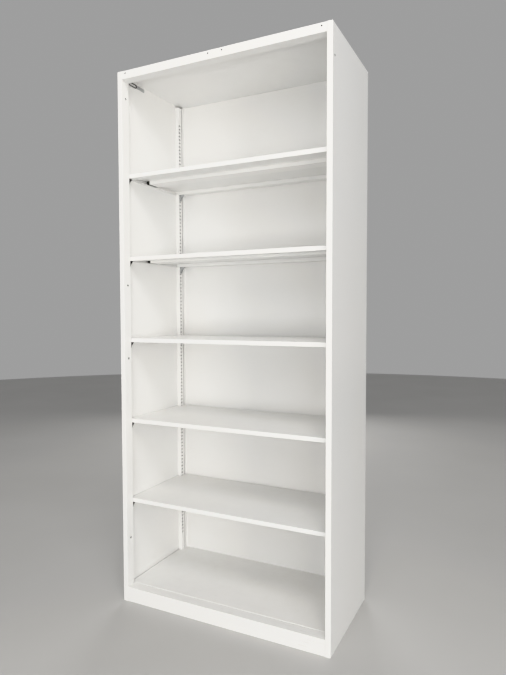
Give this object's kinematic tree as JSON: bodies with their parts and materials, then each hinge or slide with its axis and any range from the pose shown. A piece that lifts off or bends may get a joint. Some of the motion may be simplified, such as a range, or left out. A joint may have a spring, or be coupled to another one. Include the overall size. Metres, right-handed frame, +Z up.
{
  "type": "open storage cabinet",
  "caption": "Tall open-front steel storage cabinet with boxed stiles, slotted rear posts and lift-off adjustable shelves on hooked clips.",
  "frame": {"origin": "on the floor under the middle of the footprint", "axes": "+Z up, +X to the viewer's right when facing the open front, front towards -Y"},
  "size_m": [0.9, 0.45, 2.16],
  "materials": {
    "powder_coat": "satin white powder coat with a fine orange-peel texture",
    "dark_steel": "dark blackened spring steel",
    "zinc_steel": "dull zinc plate",
    "black_plastic": "matte black moulded plastic"
  },
  "bodies": {
    "carcass": {"left_side_panel": "powder_coat", "right_side_panel": "powder_coat", "top_panel": "powder_coat", "back_panel": "powder_coat", "kick_plate": "powder_coat", "rear_base_rail": "powder_coat", "floor_panel": "powder_coat", "floor_brace": "powder_coat", "left_rear_post": "powder_coat", "right_rear_post": "powder_coat", "link_strap": "zinc_steel", "strap_rivet": "zinc_steel", "shelf_front_clips_1": "dark_steel", "shelf_rear_clips_1": "zinc_steel", "shelf_front_clips_2": "dark_steel", "shelf_rear_clips_2": "zinc_steel", "shelf_front_clips_3": "dark_steel", "shelf_rear_clips_3": "zinc_steel", "shelf_front_clips_4": "dark_steel", "shelf_rear_clips_4": "zinc_steel", "shelf_front_clips_5": "dark_steel", "shelf_rear_clips_5": "zinc_steel"},
    "shelf_1_unit": {"shelf_1": "powder_coat", "shelf_stiffener_1": "powder_coat", "stiffener_caps_1": "black_plastic"},
    "shelf_2_unit": {"shelf_2": "powder_coat", "shelf_stiffener_2": "powder_coat", "stiffener_caps_2": "black_plastic"},
    "shelf_3_unit": {"shelf_3": "powder_coat", "shelf_stiffener_3": "powder_coat", "stiffener_caps_3": "black_plastic"},
    "shelf_4_unit": {"shelf_4": "powder_coat", "shelf_stiffener_4": "powder_coat", "stiffener_caps_4": "black_plastic"},
    "shelf_5_unit": {"shelf_5": "powder_coat", "shelf_stiffener_5": "powder_coat", "stiffener_caps_5": "black_plastic"}
  },
  "joints": [
    {"name": "shelf_1_lift", "type": "slide", "parent": "carcass", "child": "shelf_1_unit", "axis": [0, 0, 1], "range_m": [0, 0.28]},
    {"name": "shelf_2_lift", "type": "slide", "parent": "carcass", "child": "shelf_2_unit", "axis": [0, 0, 1], "range_m": [0, 0.28]},
    {"name": "shelf_3_lift", "type": "slide", "parent": "carcass", "child": "shelf_3_unit", "axis": [0, 0, 1], "range_m": [0, 0.28]},
    {"name": "shelf_4_lift", "type": "slide", "parent": "carcass", "child": "shelf_4_unit", "axis": [0, 0, 1], "range_m": [0, 0.28]},
    {"name": "shelf_5_lift", "type": "slide", "parent": "carcass", "child": "shelf_5_unit", "axis": [0, 0, 1], "range_m": [0, 0.28]}
  ]
}
